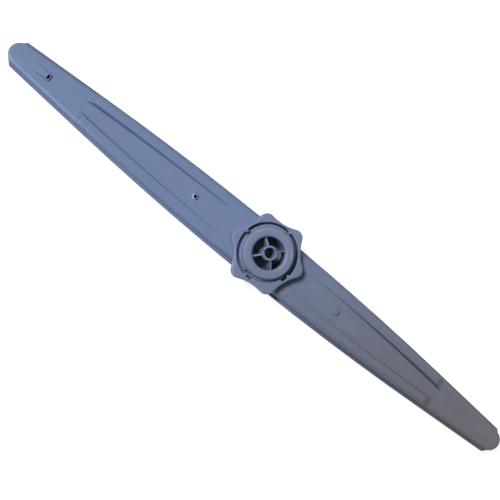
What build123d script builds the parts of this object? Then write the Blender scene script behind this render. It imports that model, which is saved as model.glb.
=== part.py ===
from build123d import *
import os
from math import asin, atan, atan2, cos, hypot, radians, sin, sqrt, tan

os.makedirs("parts", exist_ok=True)

# Dishwasher spray arm, in millimetres. It lies along X on its spray jets, with the hub nut up.
# The origin is on the hub's axis, at the plane that the jets rest on.

# Outline of the arm
arm_length = 480.0
half_width = 19.1
taper_length = 75.0
tip_radius = 8.7
rim_ledge = 2.3
rim_end_gap = 7.4
rim_chamfer = 4.5

# Shells
wall = 2.0
tray_depth = 9.2
tray_edge_radius = 4.0
tray_hub_blend = 10.0
rim_thickness = 2.5
wing_rise = 7.8
wing_edge_radius = 2.4
wing_end_gap = 67.5
wing_ramp = 5.0
wing_ramp_bend = 5.0
wing_width = 8.4
strip_drop_at_end = 2.5
strip_slope = 0.016
strip_wall_angle = 35.0
strip_bend_x = 46.0
strip_hub_x = 20.0
strip_hub_half = 5.2
strip_hub_corner = 2.6

# Spray jets on the hidden side
jet_height = 1.5
jets_per_side = 5
jet_first_x = 46.0
jet_end_gap = 38.0
jet_edge_margin = 10.5
jet_boss_length = 13.0
jet_boss_width = 8.0
jet_slot_length = 7.5
jet_slot_width = 2.2
jet_turn = 30.0

# Small jet, blank bump and scoop nozzle on the side that shows
side_jet_x = 68.0
side_jet_radius = 2.35
side_jet_hole = 1.1
side_jet_height = 1.4
side_jet_edge = 0.6
bump_x = 69.8
bump_radius = 2.75
bump_height = 1.3
bump_edge_chamfer = 0.5
scoop_end_gap = 21.0
scoop_length = 16.1
scoop_width = 5.6
scoop_height = 1.2
scoop_draft = 30.0
scoop_corner = 1.5
scoop_lip = 0.65
scoop_slot_length = 3.2
scoop_slot_width = 1.8

# Bearing in the collar, and the collar's bayonet ramps
bush_radius = 19.1
bush_wall = 2.2
bush_drop = 9.6
collar_wall = 2.12
collar_height = 3.0
foot_reach = 3.0
foot_thickness = 2.0
bayonet_count = 4
bayonet_angle = 36.0
ramp_span = 40.0
ramp_reach = 1.9
ramp_thickness = 1.2

# Lobed nut
nut_lift = 0.2
nut_height = 7.5
nut_roof = 2.5
lobe_count = 6
lobe_angle = 8.6
lobe_step = 0.7
lobe_radius = 6.0
hollow_radius = 36.0
lobe_pocket_radius = 2.0
nut_edge_chamfer = 0.6
nut_lug_span = 36.0
nut_lug_thickness = 1.3
keeper_count = 4
keeper_angle = -9.0
keeper_span = 5.6
keeper_root = 0.8
keeper_land_angle = 305.1
keeper_land_span = 61.0

# Hub bearing above the collar
keeper_ring_thickness = 1.2
keeper_overlap = 0.6
flange_height = 2.2
flange_width = 2.3
flange_notch_depth = 1.2
flange_notch_span = 13.0
ring_rise = 5.5
ring_draft = 1.1
ring_outer_edge = 1.0
ring_inner_slope = 1.6
ring_inner_drop = 0.75
core_gap = 2.3
feed_wall = 2.0
boss_radius = 5.5
boss_rise = 3.5
boss_length = 18.0
pivot_bore = 4.1
boss_slot_angle = 38.6
boss_slot_offset = 1.4
boss_slot_width = 1.2
boss_slot_depth = 1.2
spoke_count = 4
spoke_angle = 47.0
spoke_thickness = 1.4
spoke_boss_step = 1.6
spoke_wall_step = 3.0

# Clearances
running_clearance = 0.08
seat_clearance = 0.1
bayonet_clearance = 0.2
nut_side_clearance = 0.3
keeper_side_clearance = 0.8
land_side_clearance = 0.3
keeper_ring_clearance = 0.9

# Radii that follow from the bearing
collar_bore = bush_radius + running_clearance
collar_radius = collar_bore + collar_wall
ramp_radius = collar_radius + ramp_reach
foot_radius = collar_radius + foot_reach
nut_bore = ramp_radius + nut_side_clearance
keeper_ring_radius = nut_bore - keeper_ring_clearance
keeper_radius = keeper_ring_radius - keeper_overlap
flange_radius = keeper_radius - keeper_side_clearance
land_radius = flange_radius + land_side_clearance
ring_radius = flange_radius - flange_width
skirt_bore = bush_radius - bush_wall
feed_radius = skirt_bore - core_gap
feed_bore = feed_radius - feed_wall
lobe_centre = nut_bore + lobe_step
lobe_tip = lobe_centre + lobe_radius

# Levels above the rest plane
tray_floor_z = jet_height
parting_z = tray_floor_z + tray_depth
wing_z = parting_z + wing_rise
nut_z = wing_z + nut_lift
nut_top_z = nut_z + nut_height
ramp_z = nut_z + nut_lug_thickness + bayonet_clearance
collar_z = wing_z + collar_height
keeper_ring_z = collar_z + seat_clearance
keeper_ring_top_z = keeper_ring_z + keeper_ring_thickness
keeper_z = keeper_ring_top_z + bayonet_clearance
flange_z = keeper_ring_top_z + flange_height
ring_z = flange_z + ring_rise
boss_z = ring_z + boss_rise
boss_bottom_z = boss_z - boss_length
bush_z = keeper_ring_z - bush_drop

# Places along the arm
half_length = arm_length / 2
tip_centre_x = half_length - tip_radius
rim_end_x = half_length - rim_end_gap
wing_end_x = half_length - wing_end_gap
jet_pitch = (half_length - jet_end_gap - jet_first_x) / (jets_per_side - 1)
scoop_tail_x = half_length - scoop_end_gap
scoop_mouth_x = scoop_tail_x - scoop_length
scoop_slot_x = scoop_mouth_x + scoop_height * tan(radians(scoop_draft)) + scoop_lip + scoop_slot_width / 2

# Side edge: an arc from the hub that runs on into the straight taper, which touches the round tip.
# The taper's line, carried on, meets the widest line half way along the arc.
meeting_x = (half_length - taper_length) / 2
tip_distance = hypot(half_width, tip_centre_x - meeting_x)
edge_turn = atan2(half_width, tip_centre_x - meeting_x) - asin(tip_radius / tip_distance)
bend_x = meeting_x * (1 + cos(edge_turn))
edge_radius = meeting_x / tan(edge_turn / 2)


def side_half(x):
    """Half width of the shells at the distance x from the hub, on the long arc or the straight taper."""
    if x <= bend_x:
        return half_width - edge_radius + sqrt(edge_radius**2 - x**2)
    return side_half(bend_x) - (x - bend_x) * tan(edge_turn)


def strip_z(x):
    """Height of the sunk strip and the tips at the distance x from the hub."""
    return wing_z - strip_drop_at_end + strip_slope * (wing_end_x - x)


def strip_plane(depth):
    """Plane of the sunk strip and the tip on the +X side, or one at a depth under it."""
    slope_angle = atan(strip_slope)
    return Plane(
        origin=(0, 0, strip_z(0) - depth),
        x_dir=(cos(slope_angle), 0, -sin(slope_angle)),
        z_dir=(sin(slope_angle), 0, cos(slope_angle)),
    )


def bend_point(inset):
    """End of the side's arc, drawn in from the outer face by inset."""
    return Vector(bend_x - inset * sin(edge_turn), side_half(bend_x) - inset * cos(edge_turn))


def wall_outline(inset):
    """Outline of the shells' side wall, drawn in from its outer face by inset."""
    tip = tip_radius - inset
    touch = (tip_centre_x + tip * sin(edge_turn), tip * cos(edge_turn))
    with BuildSketch() as outline:
        with BuildLine():
            side = TangentArc((0, half_width - inset), bend_point(inset), tangent=(1, 0))
            taper = Line(side @ 1, touch)
            TangentArc(taper @ 1, (tip_centre_x + tip, 0), tangent=taper % 1)
            mirror(about=Plane.XZ)
            mirror(about=Plane.YZ)
        make_face()
    return outline.sketch


def rim_outline():
    """Outline of the weld rim, which runs along both sides and stops short of the round tips."""
    bend = bend_point(-rim_ledge)
    end_half = bend.Y - (rim_end_x - bend.X) * tan(edge_turn)
    with BuildSketch() as outline:
        with BuildLine():
            side = TangentArc((0, half_width + rim_ledge), bend, tangent=(1, 0))
            Polyline(
                side @ 1,
                (rim_end_x, end_half),
                (rim_end_x + rim_chamfer, end_half - rim_chamfer),
                (rim_end_x + rim_chamfer, 0),
            )
            mirror(about=Plane.XZ)
            mirror(about=Plane.YZ)
        make_face()
    return outline.sketch


def ring_band(inner, outer, angle, span):
    """Part of a flat ring, centred on an angle."""
    with BuildSketch() as band:
        with BuildLine():
            inside = CenterArc((0, 0), inner, angle - span / 2, span)
            outside = CenterArc((0, 0), outer, angle - span / 2, span)
            Line(inside @ 0, outside @ 0)
            Line(inside @ 1, outside @ 1)
        make_face()
    return band.sketch


def ring_bands(inner, outer, first_angle, span, count):
    """A ring's bands, spaced evenly round the hub."""
    return [ring_band(inner, outer, first_angle + k * 360 / count, span) for k in range(count)]


def strip_block(spread):
    """Wedge that sinks the strip on the +X side, or with a spread the roof that is left under it."""
    end_x = wing_end_x + wing_ramp
    middle_x = (strip_bend_x + end_x) / 2
    narrowing = wing_width - spread
    hub_x = strip_hub_x - spread
    hub_half = strip_hub_half + spread
    with BuildPart() as block:
        with BuildSketch(strip_plane(spread)) as outline:
            with BuildLine():
                hub_side = Polyline(
                    (hub_x, 0), (hub_x, hub_half), (strip_bend_x, side_half(strip_bend_x) - narrowing)
                )
                side = ThreePointArc(
                    hub_side @ 1,
                    (middle_x, side_half(middle_x) - narrowing),
                    (end_x, side_half(end_x) - narrowing),
                )
                Line(side @ 1, (end_x, 0))
                mirror(about=Plane.XZ)
            make_face()
            fillet(outline.vertices().group_by(Axis.X)[0], strip_hub_corner)
        extrude(amount=2 * strip_drop_at_end + spread, taper=-strip_wall_angle)
    return block.part


def lower_form(inset):
    """Outer form of the lower shell, or its hollow where inset is the wall."""
    top_z = wing_z - inset
    end_x = wing_end_x - inset
    above_z = wing_z + wall
    with BuildPart() as form:
        with BuildSketch(Plane.XY.offset(parting_z)):
            add(wall_outline(inset))
        extrude(amount=top_z - parting_z)
        with BuildSketch(Plane.XZ):
            with BuildLine():
                FilletPolyline(
                    (end_x - 2 * wing_ramp, top_z),
                    (end_x - wing_ramp, top_z),
                    (end_x, strip_z(end_x) - inset),
                    (half_length, strip_z(half_length) - inset),
                    radius=wing_ramp_bend,
                )
                Polyline(
                    (half_length, strip_z(half_length) - inset),
                    (half_length, above_z),
                    (end_x - 2 * wing_ramp, above_z),
                    (end_x - 2 * wing_ramp, top_z),
                )
            make_face()
            mirror(about=Plane.YZ)
        extrude(amount=2 * half_width, both=True, mode=Mode.SUBTRACT)
        if inset == 0:
            roof = form.faces().filter_by(lambda face: face.normal_at().Z > 0.5)
            fillet(roof.edges().filter_by(Axis.Y, reverse=True), wing_edge_radius)
        add(strip_block(inset), mode=Mode.SUBTRACT)
        add(strip_block(inset).mirror(Plane.YZ), mode=Mode.SUBTRACT)
    return form.part


def scoop_block():
    """Scoop nozzle on the +X side: a drafted ramp that rises from its tail to a mouth with round corners."""
    tail_z = strip_z(scoop_tail_x)
    mouth_z = strip_z(scoop_mouth_x) + scoop_height
    above_z = mouth_z + scoop_height
    with BuildPart() as block:
        with BuildSketch(strip_plane(0)) as foot:
            with Locations(((scoop_tail_x + scoop_mouth_x) / 2, 0)):
                Rectangle(scoop_length, scoop_width)
            fillet(foot.vertices().group_by(Axis.X)[0], scoop_corner)
        extrude(amount=scoop_height, taper=scoop_draft)
        extrude(foot.sketch, amount=-wall / 2)
        with BuildSketch(Plane.XZ):
            with BuildLine():
                Polyline(
                    (scoop_tail_x, tail_z),
                    (scoop_mouth_x, mouth_z),
                    (scoop_mouth_x, above_z),
                    (scoop_tail_x, above_z),
                    close=True,
                )
            make_face()
        extrude(amount=scoop_width, both=True, mode=Mode.SUBTRACT)
    return block.part


def tray_form(inset):
    """Outer form of the tray under the parting plane, or its hollow where inset is the wall."""
    with BuildPart() as form:
        with BuildSketch(Plane.XY.offset(tray_floor_z + inset)) as floor:
            add(wall_outline(inset))
            Circle(collar_radius - inset)
            hub_corners = floor.vertices().filter_by_position(Axis.X, -collar_radius, collar_radius)
            fillet(hub_corners, tray_hub_blend + inset)
        extrude(amount=tray_depth - inset)
        if inset == 0:
            fillet(form.edges().group_by(Axis.Z)[0], tray_edge_radius)
    return form.part


def jet_places():
    """Places of the spray jets, side to side along one half and turned half round for the other."""
    places = []
    for k in range(jets_per_side):
        x = jet_first_x + k * jet_pitch
        y = (side_half(x) - jet_edge_margin) * (-1) ** k
        turn = jet_turn * (-1) ** k
        places += [Location((x, y, 0), (0, 0, turn)), Location((-x, -y, 0), (0, 0, turn))]
    return places


# Upper shell: hidden tray with the spray jets and the weld rim
with BuildPart() as upper_shell:
    add(tray_form(0))
    with BuildSketch(Plane.XY.offset(parting_z)):
        add(rim_outline())
    extrude(amount=-rim_thickness)
    with BuildSketch():
        with Locations(jet_places()):
            SlotOverall(jet_boss_length, jet_boss_width)
    extrude(amount=jet_height)
    add(tray_form(wall), mode=Mode.SUBTRACT)
    with BuildSketch():
        with Locations(jet_places()):
            SlotOverall(jet_slot_length, jet_slot_width)
    extrude(amount=tray_floor_z + wall, mode=Mode.SUBTRACT)

upper_shell.part.label = "upper_shell"
export_step(upper_shell.part, "parts/upper_shell.step")


# Lower shell: the half that shows, with its wings, sunk strip, nozzles and bayonet collar.
# The scoop nozzle is near the -X tip, with its mouth towards the hub.
jet_z = strip_z(side_jet_x)
jet_top_z = jet_z + side_jet_height
bump_z = strip_z(bump_x)
bump_top_z = bump_z + bump_height

with BuildPart() as lower_shell:
    add(lower_form(0))
    with BuildSketch(Plane.XY.offset(parting_z)):
        Circle(collar_radius)
    extrude(amount=collar_z - parting_z)
    with BuildSketch(Plane.XY.offset(wing_z)):
        Circle(foot_radius)
    extrude(amount=-foot_thickness)
    with BuildSketch(Plane.XY.offset(ramp_z)):
        add(ring_bands(collar_bore, ramp_radius, bayonet_angle, ramp_span, bayonet_count))
    extrude(amount=ramp_thickness)
    add(scoop_block().mirror(Plane.YZ))
    with BuildSketch(Plane.XY.offset(jet_z - wall / 2)):
        with Locations((-side_jet_x, 0)):
            Circle(side_jet_radius)
    extrude(amount=wall / 2 + side_jet_height)
    jet_rim = lower_shell.edges().filter_by(GeomType.CIRCLE).sort_by_distance((-side_jet_x, 0, jet_top_z))[0]
    chamfer(jet_rim, side_jet_edge)
    with BuildSketch(Plane.XY.offset(bump_z - wall / 2)):
        with Locations((bump_x, 0)):
            Circle(bump_radius)
    extrude(amount=wall / 2 + bump_height)
    bump_rim = lower_shell.edges().filter_by(GeomType.CIRCLE).sort_by_distance((bump_x, 0, bump_top_z))[0]
    chamfer(bump_rim, bump_edge_chamfer)
    add(lower_form(wall), mode=Mode.SUBTRACT)
    with BuildSketch(Plane.XY.offset(parting_z)):
        Circle(collar_bore)
        with Locations((-side_jet_x, 0)):
            Circle(side_jet_hole)
        with Locations((-scoop_slot_x, 0)):
            Rectangle(scoop_slot_width, scoop_slot_length)
    extrude(amount=collar_z - parting_z, mode=Mode.SUBTRACT)

lower_shell.part.label = "lower_shell"
export_step(lower_shell.part, "parts/lower_shell.step")


def polar_point(radius, angle):
    """Point at a radius from the hub's axis, at an angle in degrees from +X."""
    return Vector(radius * cos(radians(angle)), radius * sin(radians(angle)))


def lobed_outline():
    """Lobes joined by shallow hollows, each arc touching the next."""
    half_pitch = 180 / lobe_count
    reach = hollow_radius + lobe_radius
    aside = lobe_centre * sin(radians(half_pitch))
    hollow_centre = lobe_centre * cos(radians(half_pitch)) + sqrt(reach**2 - aside**2)
    share = lobe_radius / reach
    with BuildSketch() as outline:
        with BuildLine():
            for k in range(lobe_count):
                angle = lobe_angle + 2 * half_pitch * k
                lobe = polar_point(lobe_centre, angle)
                next_lobe = polar_point(lobe_centre, angle + 2 * half_pitch)
                hollow_before = polar_point(hollow_centre, angle - half_pitch)
                hollow_after = polar_point(hollow_centre, angle + half_pitch)
                lobe_start = lobe + (hollow_before - lobe) * share
                lobe_end = lobe + (hollow_after - lobe) * share
                hollow_end = next_lobe + (hollow_after - next_lobe) * share
                ThreePointArc(lobe_start, polar_point(lobe_tip, angle), lobe_end)
                ThreePointArc(
                    lobe_end, polar_point(hollow_centre - hollow_radius, angle + half_pitch), hollow_end
                )
        make_face()
    return outline.sketch


# Lobed nut: turns an eighth round on the collar's ramps, and its keepers hold the hub bearing down
with BuildPart() as lobed_nut:
    with BuildSketch(Plane.XY.offset(nut_z)):
        add(lobed_outline())
    extrude(amount=nut_height)
    chamfer(lobed_nut.edges().group_by(Axis.Z)[-1], nut_edge_chamfer)
    with BuildSketch(Plane.XY.offset(nut_z)):
        Circle(nut_bore)
    extrude(amount=nut_height, mode=Mode.SUBTRACT)
    with BuildSketch(Plane.XY.offset(nut_z)):
        with PolarLocations((nut_bore + lobe_tip) / 2, lobe_count, start_angle=lobe_angle):
            Circle(lobe_pocket_radius)
    extrude(amount=nut_height - nut_roof, mode=Mode.SUBTRACT)
    with BuildSketch(Plane.XY.offset(nut_z)):
        lug_radius = collar_radius + bayonet_clearance
        add(ring_bands(lug_radius, nut_bore + keeper_root, bayonet_angle, nut_lug_span, bayonet_count))
    extrude(amount=nut_lug_thickness)
    with BuildSketch(Plane.XY.offset(keeper_z)):
        add(ring_bands(keeper_radius, nut_bore + keeper_root, keeper_angle, keeper_span, keeper_count))
        add(ring_band(land_radius, nut_bore + keeper_root, keeper_land_angle, keeper_land_span))
    extrude(amount=nut_top_z - keeper_z)

lobed_nut.part.label = "lobed_nut"
export_step(lobed_nut.part, "parts/lobed_nut.step")


# Hub bearing: runs in the collar, and its spokes hold the boss that sits on the machine's pivot
spoke_boss_z = boss_z - spoke_boss_step
spoke_wall_z = ring_z - spoke_wall_step

with BuildPart() as hub_bearing:
    with BuildSketch(Plane.XZ) as section:
        with BuildLine():
            Polyline(
                (feed_bore, boss_bottom_z),
                (feed_bore, ring_z - ring_inner_drop),
                (feed_bore + ring_inner_slope, ring_z),
                (ring_radius, ring_z),
                (ring_radius + ring_draft, flange_z),
                (flange_radius, flange_z),
                (flange_radius, keeper_ring_top_z),
                (keeper_ring_radius, keeper_ring_top_z),
                (keeper_ring_radius, keeper_ring_z),
                (bush_radius, keeper_ring_z),
                (bush_radius, bush_z),
                (skirt_bore, bush_z),
                (skirt_bore, ring_z - feed_wall),
                (feed_radius, ring_z - feed_wall),
                (feed_radius, boss_bottom_z),
                close=True,
            )
        make_face()
        fillet(section.vertices().group_by(Axis.Y)[-1].sort_by(Axis.X)[-1], ring_outer_edge)
    revolve(axis=Axis.Z)
    with BuildSketch(Plane.XY.offset(keeper_ring_top_z)):
        notch_radius = flange_radius - flange_notch_depth
        add(ring_bands(notch_radius, keeper_radius, keeper_angle, flange_notch_span, keeper_count))
    extrude(amount=flange_height, mode=Mode.SUBTRACT)
    with BuildSketch(Plane.XY.offset(boss_bottom_z)):
        Circle(boss_radius)
    extrude(amount=boss_length)
    for k in range(spoke_count):
        outward = polar_point(1, spoke_angle + k * 360 / spoke_count)
        with BuildSketch(Plane(origin=(0, 0, 0), x_dir=outward, z_dir=outward.cross(Vector(0, 0, 1)))):
            with BuildLine():
                Polyline(
                    (pivot_bore, boss_bottom_z),
                    (pivot_bore, spoke_boss_z),
                    (boss_radius, spoke_boss_z),
                    (feed_bore, spoke_wall_z),
                    (feed_radius, spoke_wall_z),
                    (feed_radius, boss_bottom_z),
                    close=True,
                )
            make_face()
        extrude(amount=spoke_thickness / 2, both=True)
    with BuildSketch(Plane.XY.offset(boss_bottom_z)):
        Circle(pivot_bore)
    extrude(amount=boss_length, mode=Mode.SUBTRACT)
    with BuildSketch(Plane.XY.offset(boss_z)):
        with Locations(Location(polar_point(boss_slot_offset, boss_slot_angle + 90), boss_slot_angle)):
            Rectangle(2 * boss_radius, boss_slot_width)
    extrude(amount=-boss_slot_depth, mode=Mode.SUBTRACT)

hub_bearing.part.label = "hub_bearing"
export_step(hub_bearing.part, "parts/hub_bearing.step")
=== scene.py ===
from math import radians

import bpy
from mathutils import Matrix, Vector


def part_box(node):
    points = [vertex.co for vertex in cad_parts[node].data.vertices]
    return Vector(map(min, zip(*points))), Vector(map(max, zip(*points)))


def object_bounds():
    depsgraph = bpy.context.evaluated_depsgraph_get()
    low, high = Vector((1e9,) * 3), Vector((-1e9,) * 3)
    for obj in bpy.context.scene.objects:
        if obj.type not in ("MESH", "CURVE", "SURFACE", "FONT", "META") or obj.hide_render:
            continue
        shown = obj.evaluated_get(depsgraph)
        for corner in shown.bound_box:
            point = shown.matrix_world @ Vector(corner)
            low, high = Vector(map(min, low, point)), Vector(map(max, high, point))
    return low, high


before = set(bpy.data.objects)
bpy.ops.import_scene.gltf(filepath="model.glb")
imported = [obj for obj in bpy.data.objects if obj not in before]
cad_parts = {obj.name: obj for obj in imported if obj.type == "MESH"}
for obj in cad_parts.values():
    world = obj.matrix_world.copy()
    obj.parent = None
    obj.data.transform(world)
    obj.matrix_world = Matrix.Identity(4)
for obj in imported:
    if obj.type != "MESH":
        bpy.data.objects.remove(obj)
cad_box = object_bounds()

# Camera, fitted to the photograph: nearly straight down on the arm, from the scoop end and the near side
camera_place = Vector((-0.1057, -0.1260, 0.7447))
camera_turn = (2.78, -11.61, 38.40)
focal_pixels = 992.4
image_pixels = 500
sensor_width = 36.0

# Plastic colours, as linear values, at the lit and shaded ends of a painted light falloff: the blades darken to
# a greyer blue towards the +X tip, and the nut and hub darken towards +X and -Y
lit_end_blue = (0.151, 0.199, 0.338, 1)
shaded_end_grey = (0.141, 0.133, 0.148, 1)
nut_lit_blue = (0.168, 0.201, 0.333, 1)
nut_shaded_blue = (0.146, 0.182, 0.280, 1)
hub_lit_blue = (0.172, 0.203, 0.325, 1)
hub_shaded_blue = (0.156, 0.182, 0.276, 1)

# Colours of casts, scale and specks, and of painted highlights, light and shade
violet_cast = (0.190, 0.180, 0.330, 1)
teal_cast = (0.125, 0.205, 0.300, 1)
grime_and_shade_colour = (0.012, 0.012, 0.020, 1)
corner_shade_blue = (0.005, 0.022, 0.085, 1)
scale_and_light_colour = (0.46, 0.48, 0.52, 1)
limescale_and_highlight = (0.72, 0.77, 0.88, 1)
highlight_blue = (0.36, 0.45, 0.66, 1)
lit_wall_blue = (0.27, 0.36, 0.62, 1)
shaded_blue = (0.13, 0.165, 0.30, 1)

# Lengths, heights and radii that the finishes follow, in metres from the hub's axis and the plane under the jets
half_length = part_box("lower_shell")[1].x
tray_inside = 0.0035
rim_top = 0.0107
wing_top = 0.0185
foot_top = 0.0185
foot_radius = 0.0244
nut_bore = 0.0235
notch_radius = 0.0199
feed_bore = 0.0126
boss_radius = 0.0055

# Surface of the plastic
plastic_ior = 1.46
edge_samples = 8
grain_depth = 0.00006
shell_softness = 0.0007
nut_softness = 0.0016
hub_softness = 0.0008


class Value:
    """A value in a finish: sums and products with it add Math nodes."""

    def __init__(self, finish, socket):
        self.finish = finish
        self.socket = socket

    def math(self, operation, first, second=0.0):
        return self.finish.node("ShaderNodeMath", {"operation": operation}, {0: first, 1: second})

    def __add__(self, other):
        return self.math("ADD", self, other)

    def __radd__(self, other):
        return self.math("ADD", other, self)

    def __sub__(self, other):
        return self.math("SUBTRACT", self, other)

    def __rsub__(self, other):
        return self.math("SUBTRACT", other, self)

    def __mul__(self, other):
        return self.math("MULTIPLY", self, other)

    def __rmul__(self, other):
        return self.math("MULTIPLY", other, self)

    def __neg__(self):
        return self.math("MULTIPLY", self, -1)

    def __abs__(self):
        return self.math("ABSOLUTE", self)

    def root(self):
        return self.math("SQRT", self)

    def most(self, other):
        return self.math("MAXIMUM", self, other)

    def step(self, low, high):
        """0 below low and 1 above high, with a smooth ramp between them."""
        ends = {"Value": self, "From Min": low, "From Max": high}
        return self.finish.node("ShaderNodeMapRange", {"interpolation_type": "SMOOTHSTEP"}, ends)

    def ramp(self, low, high):
        """0 below low and 1 above high, with a straight ramp between them."""
        return self.finish.node("ShaderNodeMapRange", {}, {"Value": self, "From Min": low, "From Max": high})

    def band(self, low, high, edge):
        """1 between low and high, falling to 0 over an edge outside them."""
        return self.step(low - edge, low) * (1 - self.step(high, high + edge))


class Finish:
    """A material under construction, with the places and patterns that its finish is made from."""

    def __init__(self, name):
        self.material = bpy.data.materials.new(name)
        self.material.use_nodes = True
        self.tree = self.material.node_tree
        self.skin = self.tree.nodes["Principled BSDF"]
        self.place = self.node("ShaderNodeTexCoord", {}, {}, "Object")
        self.x, self.y, self.z = self.parts(self.place)
        self.radius = (self.x * self.x + self.y * self.y).root()

    def node(self, kind, settings, sockets, output=0):
        """Adds one node, with its settings and the values or links of its sockets."""
        made = self.tree.nodes.new(kind)
        for name, value in settings.items():
            setattr(made, name, value)
        for key, value in sockets.items():
            self.feed(made.inputs[key], value)
        return Value(self, made.outputs[output])

    def parts(self, vector):
        """The three parts of a vector."""
        return [self.node("ShaderNodeSeparateXYZ", {}, {0: vector}, axis) for axis in "XYZ"]

    def feed(self, socket, value):
        """Links a value to a socket, or sets a plain number or colour on it."""
        if isinstance(value, Value):
            self.tree.links.new(value.socket, socket)
        else:
            socket.default_value = value

    def noise(self, scale, detail=2.0, stretch=(1, 1, 1)):
        """Cloudy noise from 0 to 1, with scale in features per metre."""
        place = self.node("ShaderNodeVectorMath", {"operation": "MULTIPLY"}, {0: self.place, 1: stretch})
        return self.node("ShaderNodeTexNoise", {}, {"Vector": place, "Scale": scale, "Detail": detail})

    def tint(self, under, over, amount):
        """Colour under, covered by colour over where amount is 1."""
        return self.node("ShaderNodeMix", {"data_type": "RGBA"}, {0: amount, 6: under, 7: over}, 2)

    def finish_skin(self, colour, roughness, height, softness):
        """Sends the patterns to the shader, with edges that look as round as softness."""
        edge = self.node("ShaderNodeBevel", {"samples": edge_samples}, {"Radius": softness})
        bumps = {"Strength": 1.0, "Distance": grain_depth, "Height": height, "Normal": edge}
        self.feed(self.skin.inputs["Base Color"], colour)
        self.feed(self.skin.inputs["Roughness"], roughness)
        self.feed(self.skin.inputs["Normal"], self.node("ShaderNodeBump", {}, bumps))
        self.feed(self.skin.inputs["IOR"], plastic_ior)
        return self.material

    def show(self, shader):
        """Sends a shader to the material's output in place of the plain one."""
        self.feed(self.tree.nodes["Material Output"].inputs["Surface"], shader)
        return self.material


# Noise in the plastic that all the pieces share: features per metre, detail, and a stretch along the arm
grain_noise = (1400, 2.0)
cloud_noise = (38, 3.0)
streak_noise = (60, 3.0, (0.12, 1, 1))
scuff_noise = (90, 4.0, (0.08, 1, 1))
speck_noise = (420, 1.0)
violet_noise = (110, 1.0)
teal_noise = (143, 1.0)

# The part of each noise that shows, how much it colours, and what it adds to roughness and height
cloud_span = (0.45, 0.75)
streak_span = (0.35, 0.7)
scuff_span = (0.63, 0.72)
speck_span = (0.745, 0.80)
cast_span = (0.5, 0.65)
plain_cast = 0.2
haze_amount = 0.088
scuff_amount = 0.05
speck_amount = 0.28
plain_roughness = 0.48
cloud_roughness = 0.10
scuff_roughness = 0.08
grain_roughness = 0.04
grain_height = 0.5
streak_height = 0.6
scuff_height = 0.3


def moulded_plastic(finish, colour, cast=plain_cast):
    """Colour, roughness and height of satin plastic that has been washed many times."""
    grain = finish.noise(*grain_noise)
    clouds = finish.noise(*cloud_noise)
    streaks = finish.noise(*streak_noise)
    scuffs = finish.noise(*scuff_noise).step(*scuff_span)
    specks = finish.noise(*speck_noise).step(*speck_span)
    haze = clouds.step(*cloud_span) * streaks.step(*streak_span)
    colour = finish.tint(colour, violet_cast, finish.noise(*violet_noise).step(*cast_span) * cast)
    colour = finish.tint(colour, teal_cast, finish.noise(*teal_noise).step(*cast_span) * cast)
    colour = finish.tint(colour, scale_and_light_colour, haze * haze_amount + scuffs * scuff_amount)
    colour = finish.tint(colour, grime_and_shade_colour, specks * speck_amount)
    roughness = plain_roughness + clouds * cloud_roughness
    roughness = roughness + scuffs * scuff_roughness + grain * grain_roughness
    height = grain * grain_height + streaks * streak_height + scuffs * scuff_height
    return colour, roughness, height


# Shells: spans, in metres along an axis, over which one side gives way to the other
hub_span = (-0.02, 0.02)
near_span = (-0.004, -0.002)
far_span = (0, 0.001)
over_rim = (rim_top, rim_top + 0.0001)
hub_side_span = (rim_top, rim_top + 0.001)

# Painted light falloff on the shells: it starts just left of the hub, and it runs on a slant across the arm
falloff_slant = 1.2
falloff_start = -0.09 * half_length


class ShellFinish(Finish):
    """The finish of the shells, with the sides and faces that their painted light and shade follow."""

    def __init__(self, name):
        super().__init__(name)
        facing = self.node("ShaderNodeTexCoord", {}, {}, "Normal")
        self.facing_x, self.facing_far = self.parts(facing)[:2]
        self.facing_near = -self.facing_far
        self.left = 1 - self.x.step(*hub_span)
        self.right = 1 - self.left
        self.near = 1 - self.y.step(*near_span)
        self.far = self.y.step(*far_span)
        self.hub_side = self.z.step(*hub_side_span)
        # painted light falloff along the arm: 0 at the lit end, 1 at the shaded +X tip
        self.fade = (self.x - self.y * falloff_slant).ramp(falloff_start, half_length)


# Rounded edges of the shells: a pale painted highlight on the near one by the left tip, and a little on the far
# right one
near_edge_slope = (0.20, 0.62)
far_edge_slope = (0.10, 0.60)
slope_blend = 0.1
far_edge_side = (0.006, 0.008)
far_edge_height = (0.0125, 0.0135)
highlight_tip_end = (-0.19, -0.13)
highlight_far_start = (0.09, 0.14)
near_highlight = 0.3
far_highlight = 0.08


def edge_highlight(shell):
    """How much painted highlight the rounded edges get."""
    near_edge = shell.facing_near.band(*near_edge_slope, slope_blend) * shell.near
    far_edge = shell.facing_far.band(*far_edge_slope, slope_blend) * shell.y.step(*far_edge_side)
    near_lit = near_edge * (1 - shell.x.step(*highlight_tip_end)) * near_highlight
    far_lit = far_edge * shell.z.step(*far_edge_height) * shell.x.step(*highlight_far_start) * far_highlight
    return near_lit + far_lit


# Near walls above the ledge: painted light makes them paler on the left blade, and painted shade a deeper blue
# on the right one
left_wall_slope = (0.6, 0.8)
left_wall_top = (rim_top + 0.0035, rim_top + 0.0055)
left_wall_end = (-0.09, -0.03)
right_wall_slope = (0.5, 0.8)
right_wall_end = (0.12, 0.19)
lit_wall_amount = 0.45
shaded_amount = 0.55


def near_walls(shell):
    """How much painted light the left blade's near wall gets, and how much painted shade the right blade's."""
    wall = shell.z.step(*over_rim) * shell.near
    painted_lit = wall * (1 - shell.z.step(*left_wall_top)) * (1 - shell.x.step(*left_wall_end))
    painted_lit = painted_lit * shell.facing_near.step(*left_wall_slope) * lit_wall_amount
    shaded = wall * shell.right * (1 - shell.x.step(*right_wall_end))
    shaded = shaded * shell.facing_near.step(*right_wall_slope) * shaded_amount
    return painted_lit, shaded
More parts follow.
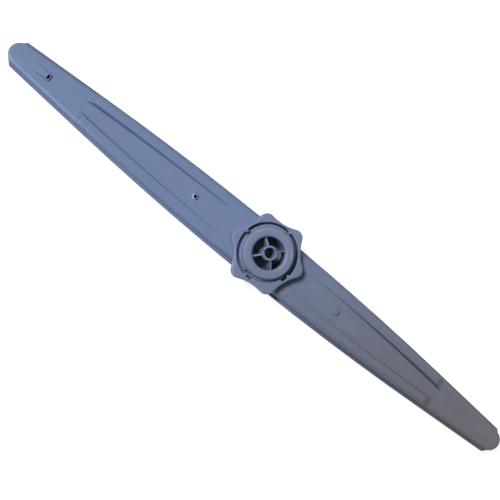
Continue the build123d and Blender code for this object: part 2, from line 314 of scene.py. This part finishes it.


# Small jet: a little scale all round its rim and a painted highlight on its lit side, and painted shade in its
# hole and beside its other side
side_jet_x = -0.068
jet_hole = (0.0012, 0.0014)
jet_rim = (0.0017, 0.0024)
jet_foot = (0.0023, 0.0028)
jet_blend = 0.0002
jet_rim_height = (0.0176, 0.0180)
lit_direction = (-0.78, -0.62)
lit_span = (0.0002, 0.0014)
rim_scale = 0.08
rim_highlight = 0.52
jet_hole_shade = 0.9
jet_foot_shade = 0.3


def side_jet_marks(shell):
    """How much scale and painted highlight lie on the small jet's rim, and how much painted shade its hole and
    foot get.
    """
    from_jet = shell.x - side_jet_x
    radius = (from_jet * from_jet + shell.y * shell.y).root()
    lit_side = (from_jet * lit_direction[0] + shell.y * lit_direction[1]).step(*lit_span)
    rim = radius.band(*jet_rim, jet_blend) * shell.z.step(*jet_rim_height)
    foot = radius.band(*jet_foot, jet_blend) * (1 - lit_side)
    hole = 1 - radius.step(*jet_hole)
    hole_and_foot_shade = (hole * jet_hole_shade + foot * jet_foot_shade) * shell.hub_side
    return rim * (rim_scale + lit_side * rim_highlight), hole_and_foot_shade


# Sunk strip: its half width at the bend beside the hub, in the middle and at its end
strip_start = 0.0460
strip_end = 0.1775
strip_widths = (0.01025, 0.00806, 0.00407)


def strip_half_width(shell):
    """Half width of the strip's floor, on a curve through its three widths."""
    first, middle, last = strip_widths
    along = abs(shell.x).ramp(strip_start, strip_end)
    bow = 2 * (first + last - 2 * middle)
    return first + along * (last - first - bow) + along * along * bow


# Painted shade in the strip: on its far walls, which face the near side, and along the foot of its walls
strip_bend = (0.040, 0.048)
wall_facing = (0.0015, 0.004)
wall_foot = (0, 0.0001)
foot_reach = 0.0012
foot_ends = (strip_start, strip_end - 0.004)
foot_end_blend = 0.002
foot_height = (wing_top - 0.0004, wing_top - 0.0001)
darker_wall = (0.08, 0.11)
darker_foot = (0.06, 0.15)
wall_shade = 0.3
more_wall_shade = 0.18
left_foot_shade = 0.3
right_foot_shade = 0.12
more_foot_shade = 0.28
near_foot_shade = 0.1


def strip_shade(shell):
    """How much painted shade the strip's far walls and the feet of its walls get."""
    along = abs(shell.x)
    wall = (shell.y * shell.facing_near).step(*wall_facing) * shell.far * along.step(*strip_bend)
    wall = wall * (wall_shade + shell.x.step(*darker_wall) * more_wall_shade)
    under_wing = 1 - shell.z.step(*foot_height)
    foot = (strip_half_width(shell) - abs(shell.y)).band(*wall_foot, foot_reach)
    foot = foot * along.band(*foot_ends, foot_end_blend) * under_wing * shell.hub_side
    right_shade = right_foot_shade + shell.x.ramp(*darker_foot) * more_foot_shade
    far_shade = shell.left * left_foot_shade + shell.right * right_shade
    near_shade = shell.left * near_foot_shade
    return wall + foot * (shell.far * far_shade + (1 - shell.far) * near_shade)


# Scoop nozzle: painted shade on its side walls and on its front, which faces the hub
scoop_middle_x = -0.211
scoop_front_x = -0.2025
scoop_ends = (0.0085, 0.0095)
scoop_sides = (0.0016, 0.0030)
scoop_side_blend = 0.0002
front_ends = (0.0015, 0.0019)
front_sides = (0.0028, 0.0032)
scoop_slope = (0.3, 0.5)
scoop_side_shade = 0.5
scoop_front_shade = 0.35


def scoop_shade(shell):
    """How much painted shade the scoop nozzle's walls get."""
    aside = abs(shell.y)
    sides = (1 - abs(shell.x - scoop_middle_x).step(*scoop_ends)) * aside.band(*scoop_sides, scoop_side_blend)
    front = (1 - abs(shell.x - scoop_front_x).step(*front_ends)) * (1 - aside.step(*front_sides))
    sides = sides * abs(shell.facing_far).step(*scoop_slope) * scoop_side_shade
    front = front * shell.facing_x.step(*scoop_slope) * scoop_front_shade
    return (sides + front) * shell.hub_side


# Ledge of the weld rim: painted shade, more by the left tip and on each blade's trailing side, far left and near
# right
ledge_span = (rim_top - 0.0012, rim_top + 0.0001)
ledge_blend = 0.0001
trailing_span = (0.0002, 0.0015)
tipward_span = (-0.19, -0.14)
ledge_shade = 0.13
tip_ledge_shade = 0.06
trailing_shade = 0.03
trailing_tip_shade = 0.09
right_ledge_shade = 0.30
falloff_ledge_shade = 0.22

# Painted shade on the near edge of the right blade, above the ledge and clear of the strip
dark_edge_slope = (0.1, 0.2)
dark_edge_height = (rim_top + 0.002, rim_top + 0.004)
past_strip = (0.002, 0.004)
dark_edge_amount = 0.17


def ledge_shades(shell):
    """How much painted shade the left blade's ledge gets, and the right blade's ledge and near edge."""
    ledge = shell.z.band(*ledge_span, ledge_blend)
    trailing = (-(shell.x * shell.y)).step(*trailing_span)
    tipward = 1 - shell.x.step(*tipward_span)
    left = ledge_shade + tipward * tip_ledge_shade + trailing * (tipward * trailing_tip_shade + trailing_shade)
    right = shell.right * trailing * (right_ledge_shade + shell.fade * falloff_ledge_shade)
    edge = shell.facing_near.step(*dark_edge_slope) * shell.z.step(*dark_edge_height)
    edge = edge * shell.right * shell.near
    edge = edge * (abs(shell.y) - strip_half_width(shell)).step(*past_strip)
    return ledge * shell.left * left, ledge * right + edge * dark_edge_amount


# Other places on the shells: painted shade on the left wings' ramps and on the collar's foot under the nut, and
# painted light on the feed's inside
ramp_slope = (0.22, 0.40)
ramp_height = (0.0140, 0.0150)
foot_edge = (foot_radius - 0.0002, foot_radius)
foot_surface = (foot_top - 0.0002, foot_top)
feed_edge = (0.0178, 0.0186)
feed_surface = (tray_inside - 0.0003, tray_inside - 0.0001)
ramp_shade = 0.25
under_nut_shade = 0.5
feed_lightening = 0.7
falloff_cast_drop = 0.12
shell_dullness = 0.2


def shell_plastic():
    """Both shells: a painted light falloff makes the blades darker and greyer towards the +X tip."""
    shell = ShellFinish("shell_plastic")
    # painted light falloff: darker and greyer towards the +X tip
    colour = shell.tint(lit_end_blue, shaded_end_grey, shell.fade * (2 - shell.fade))
    colour, roughness, height = moulded_plastic(shell, colour, plain_cast - shell.fade * falloff_cast_drop)
    painted_lit, shaded = near_walls(shell)
    jet_scale_and_highlight, jet_shade = side_jet_marks(shell)
    left_ledge, right_ledge = ledge_shades(shell)
    ramps = (-shell.facing_x).step(*ramp_slope) * shell.left * shell.z.step(*ramp_height)
    under_nut = (1 - shell.radius.step(*foot_edge)) * shell.z.step(*foot_surface)
    inside_feed = (1 - shell.radius.step(*feed_edge)) * shell.z.step(*feed_surface)
    # painted highlight along the rounded edges
    colour = shell.tint(colour, highlight_blue, edge_highlight(shell))
    # painted light on the left near wall, and painted shade on the right one
    colour = shell.tint(colour, lit_wall_blue, painted_lit)
    colour = shell.tint(colour, shaded_blue, shaded)
    # scale and a painted highlight on the small jet's rim
    colour = shell.tint(colour, limescale_and_highlight, jet_scale_and_highlight)
    # painted shade in the strip's corners and on the right ledge and near edge, bluer towards the lit end
    corner_shade = shell.tint(corner_shade_blue, grime_and_shade_colour, shell.fade)
    colour = shell.tint(colour, corner_shade, strip_shade(shell) + right_ledge)
    # painted shade in the scoop, the small jet, the left ledge, the left ramps and under the nut
    shade_amount = scoop_shade(shell) + jet_shade + left_ledge + ramps * ramp_shade + under_nut * under_nut_shade
    colour = shell.tint(colour, grime_and_shade_colour, shade_amount)
    # painted light on the floor inside the feed
    colour = shell.tint(colour, scale_and_light_colour, inside_feed * feed_lightening)
    return shell.finish_skin(colour, roughness + shell_dullness, height, shell_softness)


# Gap between the nut and the hub bearing: painted shade, or pale painted light on its far side
lit_gap_far = (0.010, 0.016)
lit_gap_end = (0.004, 0.010)
gap_shade = 0.35


def lit_gap_side(finish):
    """Where the gap round the hub bearing gets pale painted light instead of painted shade."""
    return finish.y.step(*lit_gap_far) * (1 - finish.x.step(*lit_gap_end))


# Nut
nut_falloff = (0.005, 0.035)
bore_edge = (nut_bore, nut_bore + 0.0004)
bore_top = (0.0235, 0.0255)
bore_lightening = 0.6


def nut_plastic():
    """The nut, with painted shade in its bore where the hub bearing leaves a gap, and painted light on its far
    side.
    """
    finish = Finish("nut_plastic")
    # painted light falloff: the nut darkens towards +X and -Y
    colour = finish.tint(nut_lit_blue, nut_shaded_blue, (finish.x - finish.y).ramp(*nut_falloff))
    colour, roughness, height = moulded_plastic(finish, colour)
    in_bore = (1 - finish.radius.step(*bore_edge)) * (1 - finish.z.step(*bore_top))
    painted_lit = lit_gap_side(finish)
    # painted shade in the bore, and painted light on its far side
    colour = finish.tint(colour, grime_and_shade_colour, in_bore * (1 - painted_lit) * gap_shade)
    colour = finish.tint(colour, scale_and_light_colour, in_bore * painted_lit * bore_lightening)
    return finish.finish_skin(colour, roughness, height, nut_softness)


# Hub bearing
hub_falloff = (0.000, 0.024)
flange_edge = (notch_radius - 0.0002, notch_radius)
flange_top = (0.0235, 0.0248)
feed_span = (boss_radius - 0.0001, feed_bore + 0.0002)
feed_blend = 0.0002
feed_depth = (0.016, 0.029)
ring_foot_span = (0.0172, 0.0192)
ring_foot_blend = 0.0003
ring_foot_side = (0.004, 0.008)
feed_shade = 0.15
ring_foot_lightening = 0.10


def hub_plastic():
    """The hub bearing, with painted shade beside its flange and inside its bore, and painted light at the foot
    of its ring on the far side.
    """
    finish = Finish("hub_plastic")
    # painted light falloff: the hub darkens towards +X and -Y
    colour = finish.tint(hub_lit_blue, hub_shaded_blue, (finish.x - finish.y).ramp(*hub_falloff))
    colour, roughness, height = moulded_plastic(finish, colour)
    beside_flange = finish.radius.step(*flange_edge) * (1 - finish.z.step(*flange_top))
    in_feed = finish.radius.band(*feed_span, feed_blend) * (1 - finish.z.step(*feed_depth))
    ring_foot = finish.radius.band(*ring_foot_span, ring_foot_blend) * finish.y.step(*ring_foot_side)
    # painted shade beside the flange and in the feed, and painted light at the ring's foot
    shade_amount = beside_flange * (1 - lit_gap_side(finish)) * gap_shade + in_feed * feed_shade
    colour = finish.tint(colour, grime_and_shade_colour, shade_amount)
    colour = finish.tint(colour, scale_and_light_colour, ring_foot * ring_foot_lightening)
    return finish.finish_skin(colour, roughness, height, hub_softness)


def dress(node, material):
    """Gives a CAD piece its finish."""
    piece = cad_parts[node]
    piece.data.materials.clear()
    piece.data.materials.append(material)


shell_finish = shell_plastic()
dress("lower_shell", shell_finish)
dress("upper_shell", shell_finish)
dress("lobed_nut", nut_plastic())
dress("hub_bearing", hub_plastic())


# Floor and backdrop: white to the camera, and the floor keeps a light shadow of the arm
floor_size = 8.0
floor_glow = 0.86
floor_shade = (0.34, 0.34, 0.34, 1)
floor_tones = ((0.80, 0.80, 0.80, 1), (0.84, 0.84, 0.84, 1))
floor_noise = (300, 2.0)
floor_roughness = 0.9
wall_radius = 3.9
wall_height = 3.0
wall_sink = 0.1
wall_sides = 64
white = (1, 1, 1, 1)


def seen_by_eye(finish):
    """1 for what the camera sees, straight or in a reflection, and 0 for light that falls on the arm."""
    rays = ("Is Camera Ray", "Is Glossy Ray", "Is Transmission Ray")
    camera_ray, glossy_ray, clear_ray = [finish.node("ShaderNodeLightPath", {}, {}, ray) for ray in rays]
    return camera_ray.most(glossy_ray.most(clear_ray))


def pale_floor():
    """A pale floor: white where the camera sees it, and plain pale to the light that it throws back."""
    finish = Finish("pale_floor")
    tone = finish.tint(*floor_tones, finish.noise(*floor_noise))
    finish.feed(finish.skin.inputs["Base Color"], tone)
    finish.feed(finish.skin.inputs["Roughness"], floor_roughness)
    glow = finish.node("ShaderNodeEmission", {}, {"Color": white, "Strength": floor_glow})
    matt = finish.node("ShaderNodeBsdfDiffuse", {}, {"Color": floor_shade})
    bright = finish.node("ShaderNodeAddShader", {}, {0: glow, 1: matt})
    plain = Value(finish, finish.skin.outputs[0])
    return finish.show(finish.node("ShaderNodeMixShader", {}, {0: seen_by_eye(finish), 1: plain, 2: bright}))


def white_backdrop():
    """White where the camera sees it, and clear to the light."""
    finish = Finish("white_backdrop")
    glow = finish.node("ShaderNodeEmission", {}, {"Color": white, "Strength": 1.0})
    clear = finish.node("ShaderNodeBsdfTransparent", {}, {})
    return finish.show(finish.node("ShaderNodeMixShader", {}, {0: seen_by_eye(finish), 1: clear, 2: glow}))


bpy.ops.mesh.primitive_plane_add(size=floor_size, location=(0, 0, cad_box[0].z))
floor = bpy.context.object
floor.name = "floor"
floor.data.materials.append(pale_floor())

bpy.ops.mesh.primitive_cylinder_add(
    vertices=wall_sides, radius=wall_radius, depth=wall_height, end_fill_type="NOTHING"
)
backdrop = bpy.context.object
backdrop.name = "backdrop"
backdrop.location.z = cad_box[0].z + wall_height / 2 - wall_sink
backdrop.data.materials.append(white_backdrop())

# Lamps and world: places in metres, power in watts
window_place = (-3.5, -0.1, 5.1)
window_target = (0, 0, 0)
window_size = 1.7
window_power = 375.0
window_colour = (0.92, 0.97, 1.0)
low_place = (-0.45, -0.70, 0.25)
low_target = (-0.15, 0, 0)
low_size = 0.30
low_power = 0.9
low_colour = (0.92, 0.96, 1.0)
sky_colour = (0.95, 0.97, 1.0, 1)
sky_strength = 0.18


def soft_lamp(name, place, target, size, power, colour):
    """A square soft lamp that faces a point."""
    lamp = bpy.data.lights.new(name, "AREA")
    lamp.size = size
    lamp.energy = power
    lamp.color = colour
    holder = bpy.data.objects.new(name, lamp)
    holder.location = place
    holder.rotation_euler = (Vector(target) - Vector(place)).to_track_quat("-Z", "Y").to_euler()
    bpy.context.scene.collection.objects.link(holder)


soft_lamp("window_lamp", window_place, window_target, window_size, window_power, window_colour)
soft_lamp("low_lamp", low_place, low_target, low_size, low_power, low_colour)

world = bpy.data.worlds.new("studio")
world.use_nodes = True
sky = world.node_tree.nodes["Background"]
sky.inputs["Color"].default_value = sky_colour
sky.inputs["Strength"].default_value = sky_strength
bpy.context.scene.world = world

camera = bpy.data.cameras.new("camera")
camera.sensor_width = sensor_width
camera.lens = focal_pixels / image_pixels * sensor_width
holder = bpy.data.objects.new("camera", camera)
holder.location = camera_place
holder.rotation_euler = [radians(angle) for angle in camera_turn]
bpy.context.scene.collection.objects.link(holder)
bpy.context.scene.camera = holder
bpy.context.scene.view_settings.view_transform = "Standard"
